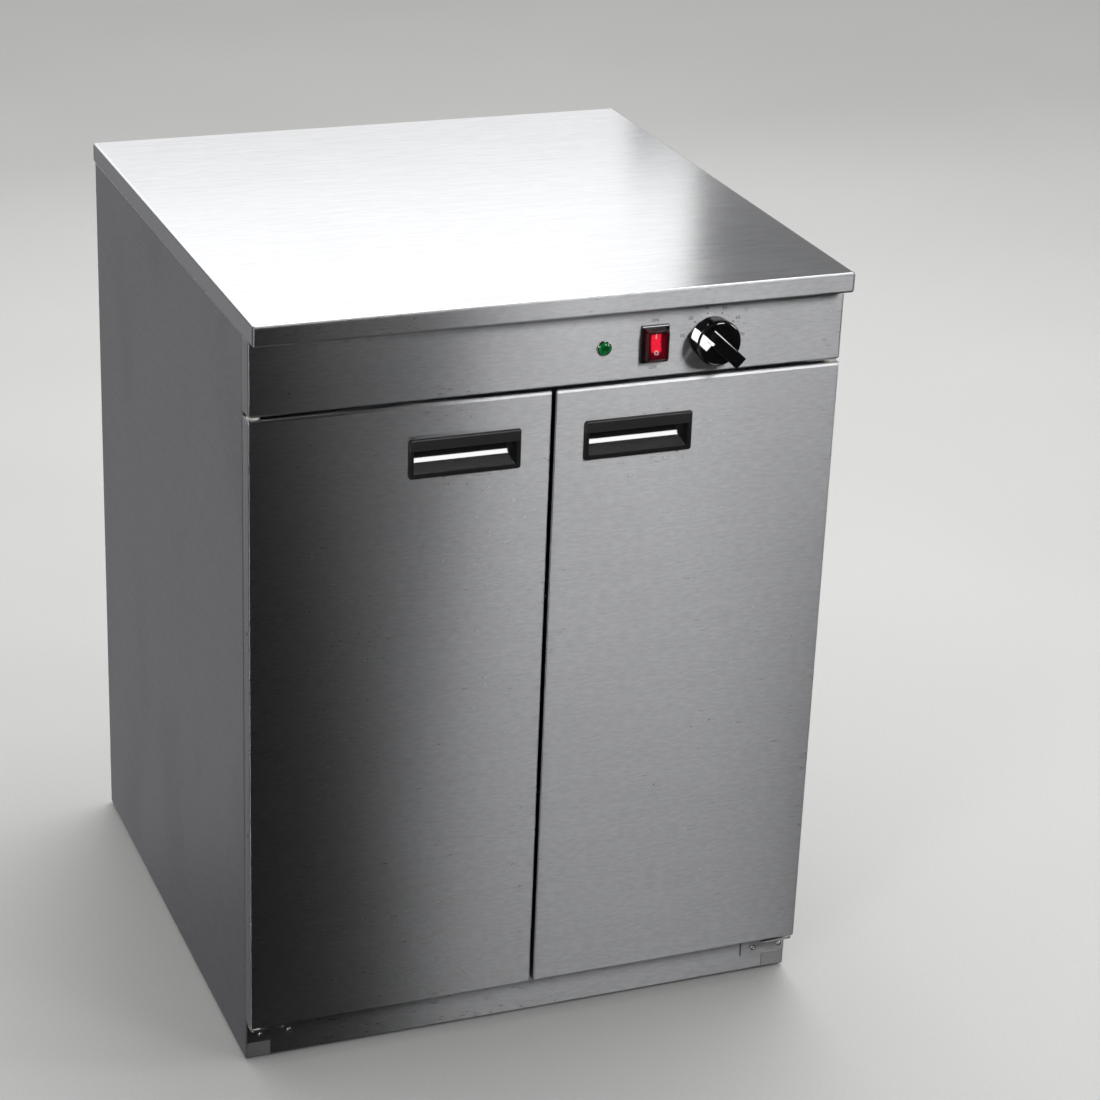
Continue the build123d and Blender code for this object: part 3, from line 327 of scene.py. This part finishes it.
# small metal part: a fine even speckle and soft stains
def smallMetal(name, colour, rough, frequency):
    def build(paint, place):
        speck = noise(paint, place, (frequency,) * 3, 3.0)
        stain = noise(paint, place, (60, 60, 60))
        shade = (speck * 0.4 + stain * 0.6).between(0.25, 0.75)
        return {
            "Base Color": shade.blend(opaque(colour, 0.8), opaque(colour)),
            "Roughness": rough * 0.8 + speck * (rough * 0.4),
            "Normal": bump(paint, speck, 0.00001),
        }

    return makeMaterial(name, {"Metallic": 1.0}, build)


for name, values in smallMetals.items():
    finishes[name] = smallMetal(name, *values)

mouldings = {
    # name: colour, roughness, texture frequency per metre, depth in metres
    "footBlack": ((0.022, 0.022, 0.022), 0.62, 500, 0.00004),
    "glandBlack": ((0.020, 0.020, 0.021), 0.48, 900, 0.00002),
    "bufferRubber": ((0.030, 0.030, 0.030), 0.70, 700, 0.00003),
    "nylon": ((0.80, 0.78, 0.70), 0.42, 600, 0.00001),
    "magnetWhite": ((0.80, 0.80, 0.78), 0.38, 600, 0.00001),
    "thermostatCase": ((0.72, 0.68, 0.58), 0.45, 500, 0.00001),
    "ceramic": ((0.82, 0.79, 0.70), 0.55, 800, 0.00002),
}


# moulded surface: spark-eroded texture as fine cells with a faint change of shade
def moulding(name, colour, rough, frequency, depth):
    def build(paint, place):
        grain = noise(paint, place, (frequency,) * 3, 3.0, 0.6)
        patch = noise(paint, place, (25, 25, 25))
        shade = (grain * 0.5 + patch * 0.5).between(0.2, 0.8)
        pale = opaque([v * 1.25 + 0.002 for v in colour])
        return {
            "Base Color": shade.blend(opaque(colour, 0.8), pale),
            "Roughness": rough * 0.85 + patch * (rough * 0.3),
            "Normal": bump(paint, grain, depth),
        }

    return makeMaterial(name, {}, build)


for name, values in mouldings.items():
    finishes[name] = moulding(name, *values)

glosses = {
    # name: colour, roughness, index (high, for a strong shine), texture frequency and depth
    "knobGloss": ((0.006, 0.006, 0.007), 0.07, 2.5, 300, 0.000002),
    "switchBlack": ((0.008, 0.008, 0.009), 0.16, 2.3, 900, 0.000003),
}


# polished plastic whose normal is tilted by the slope of height
def gloss(paint, place, height, name):
    colour, rough, index, frequency, depth = glosses[name]
    grain = noise(paint, place, (frequency,) * 3, 3.0, 0.6)
    shade = grain.between(0.25, 0.75)
    return paint.add("ShaderNodeBsdfPrincipled", {}, {
        "Base Color": shade.blend(opaque(colour, 0.8), opaque(colour)),
        "Roughness": rough * 0.85 + grain * (rough * 0.3),
        "Normal": bump(paint, grain * depth + height),
        "IOR": index,
    })


# how far down from the top the frame and the cover round over, metres, and the slope there
switchEdge = {"frame": 0.0016, "cover": 0.0024, "lean": 0.48}


# height that leans a part's top edge back, so that it mirrors the key light
def topEdge(paint, place, node, depth):
    above = along(paint, place, 2) - (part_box(node)[1].z - depth)
    return paint.math("MAXIMUM", above, 0.0) * -switchEdge["lean"]


# the switch's frame, polished, with its top edge rounded over
def switchBuild(paint, place):
    height = topEdge(paint, place, "switch_frame", switchEdge["frame"])
    return gloss(paint, place, height, "switchBlack")


knobFacet = {
    "turn": -42.0,  # the grip's direction, degrees from +X
    # metres from the knob's axis, ahead along the grip or beside it, and how softly they end
    "end": -0.0060, "endFade": 0.0015,
    "beside": (0.0032, 0.0125), "besideFade": (0.0006, 0.0015),
    "slope": (0.787, 1.19, -0.319),  # of the flat cut beside the grip, on X, Y and Z
    "crease": (-0.0066, -0.0056), "creaseFade": 0.0003,  # a bright edge along the grip
    "ridge": -0.0097,  # ahead of here the edge has the pointer's slope, behind it the handle's
    "pointerSlope": (-0.42, -0.13), "handleSlope": (-0.16, -0.37),
}


# polished knob: a flat cut beside its grip leans to the upper left, and one edge of the grip shines
def knobBuild(paint, place):
    centre = joints["knob_turn"]["pos_m"]
    across = along(paint, place, 0) - centre[0]
    up = along(paint, place, 2) - centre[2]
    angle = math.radians(knobFacet["turn"])
    ahead = across * math.cos(angle) + up * math.sin(angle)
    beside = across * math.sin(angle) - up * math.cos(angle)
    near, far = knobFacet["beside"]
    nearFade, farFade = knobFacet["besideFade"]
    share = beside.between(near, near + nearFade) * (1 - beside.between(far, far + farFade))
    end = knobFacet["end"]
    share = share * (1 - ahead.between(end - knobFacet["endFade"], end))
    slope = knobFacet["slope"]
    cut = across * slope[0] + along(paint, place, 1) * slope[1] + up * slope[2]
    low, high = knobFacet["crease"]
    fade = knobFacet["creaseFade"]
    crease = beside.between(low, low + fade) * (1 - beside.between(high, high + fade))
    edges = []
    for slopes in (knobFacet["pointerSlope"], knobFacet["handleSlope"]):
        edges.append(gloss(paint, place, across * slopes[0] + up * slopes[1], "knobGloss"))
    ridge = knobFacet["ridge"]
    edge = ahead.between(ridge - fade, ridge + fade).shaders(*edges)
    plain = gloss(paint, place, 0.0, "knobGloss")
    return share.shaders(crease.shaders(plain, edge), gloss(paint, place, cut, "knobGloss"))


finishes["knobGloss"] = mixedMaterial("knobGloss", knobBuild)
finishes["switchBlack"] = mixedMaterial("switchBlack", switchBuild)

pull = {
    "colour": (0.016, 0.016, 0.017),
    "frameRough": 0.42, "frameIndex": 1.6, "pocketRough": 0.07, "pocketIndex": 2.6,
    "pocketDepth": (0.0004, 0.0014),  # metres in front of the door's face over which one gives way
    "lean": 0.28, "band": 0.012,  # slope and height of the band above the recess
    "edgeLean": 0.22, "edge": 0.0020,  # further slope and height of the rounded top edge
    "tuck": 0.11,  # how far the pocket's wall turns down
    "skew": 0.05,  # how far every face turns to the right
    "grain": 1300, "depth": 0.00006,  # texture: frequency per metre, and metres
    "weave": (700, 700, 1400), "weaveRough": 0.12,
}


# flush pull: a grained frame whose top band leans back, round a polished pocket
def pullBuild(paint, place):
    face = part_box("door_skin_left")[0].y
    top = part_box("door_pull_left")[1].z
    shallow, deep = pull["pocketDepth"]
    level = along(paint, place, 2)
    inside = along(paint, place, 1).between(face - deep, face - shallow)
    grain = noise(paint, place, (pull["grain"],) * 3, 3.0, 0.6)
    weave = noise(paint, place, pull["weave"], 1.0).between(0.35, 0.65)
    shade = grain.between(0.25, 0.75).blend(opaque(pull["colour"], 0.7), opaque(pull["colour"]))
    skew = along(paint, place, 0) * -pull["skew"]
    band = paint.math("MAXIMUM", level - (top - pull["band"]), 0.0) * -pull["lean"]
    edge = paint.math("MAXIMUM", level - (top - pull["edge"]), 0.0) * -pull["edgeLean"]
    frameFace = paint.add("ShaderNodeBsdfPrincipled", {}, {
        "Base Color": shade,
        "Roughness": pull["frameRough"] - weave * pull["weaveRough"],
        "Normal": bump(paint, grain * pull["depth"] + band + edge + skew),
        "IOR": pull["frameIndex"],
    })
    pocket = paint.add("ShaderNodeBsdfPrincipled", {}, {
        "Base Color": shade,
        "Roughness": pull["pocketRough"] + grain * 0.03,
        "Normal": bump(paint, (level - top) * pull["tuck"] + skew),
        "IOR": pull["pocketIndex"],
    })
    return inside.shaders(frameFace, pocket)


finishes["pullBlack"] = mixedMaterial("pullBlack", pullBuild)


# wool and woven sleeve: fine streaks over soft clumps
def fibrous(name, colour, scale, depth):
    def build(paint, place):
        fibre = noise(paint, place, scale, 4.0, 0.7)
        clump = noise(paint, place, (70, 70, 70), 3.0)
        shade = (fibre * 0.6 + clump * 0.4).between(0.25, 0.75)
        return {
            "Base Color": shade.blend(opaque(colour, 0.62), opaque(colour)),
            "Roughness": 0.82 + fibre * 0.15,
            "Normal": bump(paint, fibre, depth),
        }

    return makeMaterial(name, {"Specular IOR Level": 0.2}, build)


finishes["woolPad"] = fibrous("woolPad", (0.70, 0.60, 0.38), (300, 300, 900), 0.0004)
finishes["sleeve"] = fibrous("sleeve", (0.78, 0.75, 0.66), (900, 300, 900), 0.0002)

lens = {
    "middle": (0.0, 0.075, 0.012), "middleGlow": (0.0, 0.02, 0.005),
    "rim": (0.0, 0.15, 0.03), "rimGlow": (0.0, 0.11, 0.018),
    "rimRing": (0.002, 0.0065),  # metres from its centre, from middle to rim
    "rough": 0.10, "coat": 0.5, "glow": 0.6,
}


# green jewel of the pilot lamp, brighter towards its rim: a painted highlight ring in its colour, over the lamp's
# own glow gathering there
def lensBuild(paint, place):
    low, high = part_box("lamp_lens")
    ends = {0: place, 1: (low + high) / 2}
    offset = paint.add("ShaderNodeVectorMath", {"operation": "DISTANCE"}, ends, out=1)
    rim = offset.between(*lens["rimRing"])
    grain = noise(paint, place, (700, 700, 700))
    return {
        "Base Color": rim.blend(opaque(lens["middle"]), opaque(lens["rim"])),
        "Emission Color": rim.blend(opaque(lens["middleGlow"]), opaque(lens["rimGlow"])),
        "Roughness": lens["rough"] + grain * 0.08,
    }


lensFixed = {"Coat Weight": lens["coat"], "Emission Strength": lens["glow"]}
finishes["greenLens"] = makeMaterial("greenLens", lensFixed, lensBuild)


# 1 inside an upright rectangle round a middle, fading to 0 between each pair of half sizes
def inRectangle(paint, place, middle, halfWidths, halfHeights):
    across = paint.math("ABSOLUTE", along(paint, place, 0) - middle.x)
    up = paint.math("ABSOLUTE", along(paint, place, 2) - middle.z)
    return (1 - across.between(*halfWidths)) * (1 - up.between(*halfHeights))


rocker = {
    "core": (0.30, 0.0, 0.006), "coreGlow": (1.0, 0.022, 0.050), "border": (0.030, 0.0, 0.001),
    # metres from its middle where the lit core fades out, and how far up that middle is
    "halfWidths": (0.0042, 0.0058), "halfHeights": (0.0078, 0.0092), "rise": 0.0012,
    "rough": 0.16, "glow": 3.6,
}


# red rocker lit from inside: brightest down its middle, dark at its borders
def rockerBuild(paint, place):
    low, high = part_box("switch_rocker")
    middle = (low + high) / 2 + Vector((0, 0, rocker["rise"]))
    core = inRectangle(paint, place, middle, rocker["halfWidths"], rocker["halfHeights"])
    grain = noise(paint, place, (500, 500, 500))
    border = opaque(rocker["border"])
    return {
        "Base Color": core.blend(border, opaque(rocker["core"])),
        "Emission Color": core.blend(border, opaque(rocker["coreGlow"])),
        "Roughness": rocker["rough"] + grain * 0.1,
    }


rockerFixed = {"Emission Strength": rocker["glow"]}
finishes["redRocker"] = makeMaterial("redRocker", rockerFixed, rockerBuild)

cover = {
    "tint": (0.060, 0.001, 0.003), "halo": (0.10, 0.0, 0.006), "dark": (0, 0, 0),
    "halfWidths": (0.004, 0.0105), "halfHeights": (0.008, 0.0145),  # where the halo fades, metres
    "alpha": 0.50, "rough": 0.08, "index": 2.6, "glow": 1.0,
}


# thin red cover, half see-through, with a painted glow round the lit rocker behind it that stands in for the
# rocker's light shining through
def coverBuild(paint, place):
    low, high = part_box("switch_cover")
    middle = (low + high) / 2
    # painted glow: the cover emits in a patch round the rocker, though it has no lamp of its own
    halo = inRectangle(paint, place, middle, cover["halfWidths"], cover["halfHeights"])
    haze = noise(paint, place, (260, 260, 260))
    tint = cover["tint"]
    return {
        "Base Color": haze.between(0.3, 0.7).blend(opaque(tint, 0.6), opaque(tint)),
        "Emission Color": halo.blend(opaque(cover["dark"]), opaque(cover["halo"])),
        "Alpha": cover["alpha"] + haze * 0.10,
        "Roughness": cover["rough"] + haze * 0.08,
        "Normal": bump(paint, topEdge(paint, place, "switch_cover", switchEdge["cover"])),
    }


coverFixed = {"IOR": cover["index"], "Emission Strength": cover["glow"]}
finishes["clearCover"] = makeMaterial("clearCover", coverFixed, coverBuild)


ink = {
    "dark": (0.05, 0.05, 0.055),
    "white": (0.95, 0.93, 0.93), "lit": (1, 0.75, 0.75), "glow": 2.0,
}


# printing ink, faintly uneven
def inkBuild(colour):
    def build(paint, place):
        speck = noise(paint, place, (2500, 2500, 2500)).between(0.2, 0.8)
        return {
            "Base Color": speck.blend(opaque(colour, 0.8), opaque(colour)),
            "Roughness": 0.5 + speck * 0.1,
        }

    return build


finishes["darkInk"] = makeMaterial("darkInk", {}, inkBuild(ink["dark"]))
whiteFixed = {"Emission Strength": ink["glow"], "Emission Color": opaque(ink["lit"])}
finishes["whiteInk"] = makeMaterial("whiteInk", whiteFixed, inkBuild(ink["white"]))
print("materials made:", len(finishes))

# which finish each material slot of the frame gets
slotFinish = {
    "brushed_sheet": "frontSheet", "plain_sheet": "innerSheet", "plated_steel": "plated",
    "rivet_alloy": "rivetAlloy", "foot_plastic": "footBlack", "mineral_wool": "woolPad",
    "element_sheath": "heatedSheath", "thermostat_case": "thermostatCase",
    "copper_tube": "copperTube",
    "knob_plastic": "knobGloss", "lamp_ring": "lampRing", "green_lens": "greenLens",
    "switch_plastic": "switchBlack", "red_rocker": "redRocker", "clear_cover": "clearCover",
    "terminal_ceramic": "ceramic", "lead_sleeve": "sleeve", "gland_plastic": "glandBlack",
    "magnet_case": "magnetWhite", "buffer_rubber": "bufferRubber", "nylon": "nylon",
    "pull_plastic": "pullBlack",
}
# nodes whose finish differs from their slot's
ownFinish = {
    "worktop": "worktopSheet", "side_panel_left": "sideSheet", "side_panel_right": "sideSheet",
    "door_skin_left": "doorSheet", "door_skin_right": "doorSheet",
    "pivot_brackets_left": "frontSheet", "pivot_brackets_right": "frontSheet",
}
for entry in frame["record"]["subparts"]:
    node = nodes[entry["node"]]
    finish = ownFinish.get(entry["node"], slotFinish[entry["material_slot"]])
    node.data.materials.clear()
    node.data.materials.append(finishes[finish])
print("finishes given to every node")


# a new flat piece that moves with one body
def addPiece(name, points, faces, finish, body, slotName):
    mesh = bpy.data.meshes.new(name)
    mesh.from_pydata([tuple(p) for p in points], [], [tuple(f) for f in faces])
    mesh.update()
    mesh.materials.append(finishes[finish])
    piece = bpy.data.objects.new(name, mesh)
    bpy.context.scene.collection.objects.link(piece)
    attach(piece, body)


# points on a unit circle at these angles: cosine and sine
def onCircle(turns):
    return np.stack([np.cos(turns), np.sin(turns)], axis=1)


# discs: one ring of points round each centre, in the plane of the panel
def discs(centres, radii, y, sides=24):
    ring = onCircle(np.linspace(0, 2 * np.pi, sides, endpoint=False))
    flat = np.asarray(centres)[:, None, :] + np.asarray(radii)[:, None, None] * ring[None]
    depths = np.full(flat.shape[:2], y)
    points = np.stack([flat[..., 0], depths, flat[..., 1]], axis=2).reshape(-1, 3)
    faces = np.arange(len(points)).reshape(len(centres), sides)
    return points, faces


capitalShare = 0.72  # the height of a capital letter as a share of the font's size


# lettering as flat mesh, centred on (x, z) in the plane of the panel
def lettering(words, places, height, y):
    points, faces = [], []
    for word, (x, z) in zip(words, places):
        curve = bpy.data.curves.new("word", "FONT")
        curve.body = word
        curve.size = height / capitalShare
        curve.align_x = "CENTER"
        curve.align_y = "CENTER"
        curve.resolution_u = 3
        holder = bpy.data.objects.new("word", curve)
        flat = bpy.data.meshes.new_from_object(holder)
        start = len(points)
        points += [(x + v.co.x, y, z + v.co.y) for v in flat.vertices]
        faces += [[start + i for i in polygon.vertices] for polygon in flat.polygons]
        bpy.data.objects.remove(holder)
        bpy.data.curves.remove(curve)
        bpy.data.meshes.remove(flat)
    return points, faces


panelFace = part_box("door_skin_left")[0].y  # the panel is flush with the doors
inkLift = 0.00004  # metres in front of the panel
inkFace = panelFace - inkLift

dial = {
    "first": 20, "step": 10, "count": 8,
    "start": 171.0, "turn": -34.0,  # the first number's place and the step, degrees from +X
    "dotRing": 0.0258, "dot": 0.0008, "smallDot": 0.00045,  # radii, metres
    "numberRing": 0.0318, "height": 0.0036,
}
knobCentre = joints["knob_turn"]["pos_m"]
dialCentre = np.array((knobCentre[0], knobCentre[2]))
angles = np.radians(dial["start"] + dial["turn"] * np.arange(dial["count"]))
halfway = angles[:-1] + math.radians(dial["turn"] / 2)
around = np.concatenate([angles, halfway])
dotCentres = dialCentre + dial["dotRing"] * onCircle(around)
dotRadii = np.where(np.arange(len(around)) < dial["count"], dial["dot"], dial["smallDot"])
dots = discs(dotCentres, dotRadii, inkFace)
addPiece("dialDots", *dots, "darkInk", "cabinet", "switch_plastic")
numberPlaces = dialCentre + dial["numberRing"] * onCircle(angles)
numbers = [str(dial["first"] + dial["step"] * k) for k in range(dial["count"])]
printed = lettering(numbers, numberPlaces, dial["height"], inkFace)
addPiece("dialNumbers", *printed, "darkInk", "cabinet", "switch_plastic")

switchPrint = {"words": ("ON", "OFF"), "x": 0.1000, "z": (0.7587, 0.7112), "height": 0.0034}
wordPlaces = [(switchPrint["x"], z) for z in switchPrint["z"]]
printed = lettering(switchPrint["words"], wordPlaces, switchPrint["height"], inkFace)
addPiece("switchWords", *printed, "darkInk", "cabinet", "switch_plastic")

marks = {
    # metres. rise: up from the rocker's middle. lift: in front of its face
    "barWidth": 0.0012, "barHeight": 0.0050, "barRise": 0.0078,
    "ringRadius": 0.0024, "ringHole": 0.0011, "ringRise": -0.0080,
    "sides": 32, "lift": 0.00015,
}


# a bar and a ring laid on the rocker's sloping front, each point found by a ray from in front
def rockerMarks():
    low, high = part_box("switch_rocker")
    middle = (low + high) / 2
    mesh = nodes["switch_rocker"].data
    corners = [tuple(vertex.co) for vertex in mesh.vertices]
    tree = BVHTree.FromPolygons(corners, [tuple(polygon.vertices) for polygon in mesh.polygons])
    width, height = marks["barWidth"] / 2, marks["barHeight"] / 2
    bar = np.array([(-width, -height), (width, -height), (width, height), (-width, height)])
    bar[:, 1] += marks["barRise"]
    sides = marks["sides"]
    circle = onCircle(np.linspace(0, 2 * np.pi, sides, endpoint=False))
    ring = np.concatenate([circle * marks["ringHole"], circle * marks["ringRadius"]])
    ring[:, 1] += marks["ringRise"]
    points = []
    for across, up in np.concatenate([bar, ring]):
        start = Vector((middle.x + across, low.y - 0.01, middle.z + up))
        spot = tree.ray_cast(start, Vector((0, 1, 0)))[0]
        points.append((spot.x, spot.y - marks["lift"], spot.z))
    inner = len(bar) + np.arange(sides)
    following = np.roll(inner, -1)
    ringFaces = np.stack([inner, inner + sides, following + sides, following], axis=1)
    return points, [(0, 1, 2, 3)] + ringFaces.tolist()


addPiece("rockerMarks", *rockerMarks(), "whiteInk", "rocker", "red_rocker")
print("panel printed")

floor = {"half": 12.0, "colour": (0.62, 0.62, 0.61), "darkest": 0.94}  # metres, shade


# matt floor paint, with a fine speckle over broad patches
def floorBuild(paint, place):
    speck = noise(paint, place, (260, 260, 260), 3.0)
    patch = noise(paint, place, (1.2, 1.2, 1.2))
    shade = (speck * 0.5 + patch * 0.5).between(0.3, 0.7)
    colour = floor["colour"]
    return {
        "Base Color": shade.blend(opaque(colour, floor["darkest"]), opaque(colour)),
        "Roughness": 0.5 + patch * 0.1,
    }


half = floor["half"]
floorMesh = bpy.data.meshes.new("studioFloor")
floorCorners = [(-half, -half, 0), (half, -half, 0), (half, half, 0), (-half, half, 0)]
floorMesh.from_pydata(floorCorners, [], [(0, 1, 2, 3)])
floorMesh.materials.append(makeMaterial("floorPaint", {}, floorBuild))
groundPiece = bpy.data.objects.new("studioFloor", floorMesh)
bpy.context.scene.collection.objects.link(groundPiece)
groundPiece.visible_glossy = False  # the steel mirrors the dim room, as in a dark studio
groundPiece.visible_shadow = False

# the room round the cabinet: pale to the camera. Everything else meets it dark below and to the
# right and front, grey on the left and behind, and brighter above, most of all above and behind
surround = {
    "seen": (0.70, 0.70, 0.70), "low": (0.007, 0.007, 0.0075), "side": (0.115, 0.115, 0.12),
    "front": (0.03, 0.03, 0.03), "back": (0.33, 0.33, 0.33),  # overhead
}
world = bpy.data.worlds.new("studioWorld")
world.use_nodes = True
bpy.context.scene.world = world
air = Wire(world.node_tree)
direct = air.add("ShaderNodeLightPath", out=0)
aim = air.add("ShaderNodeTexCoord", out=0)
leftward = along(air, aim, 0) * -1
backward = along(air, aim, 1)
upward = along(air, aim, 2)
overhead = backward.between(-0.1, 0.5).blend(opaque(surround["front"]), opaque(surround["back"]))
turned = air.math("MAXIMUM", leftward, backward).between(0.1, 0.6)
level = turned.blend(opaque(surround["low"]), opaque(surround["side"]))
room = upward.between(0.0, 0.7).blend(level, overhead)
shade = direct.blend(room, opaque(surround["seen"]))
world.node_tree.links.new(shade.socket, world.node_tree.nodes["Background"].inputs["Color"])
print("floor and surround ready")
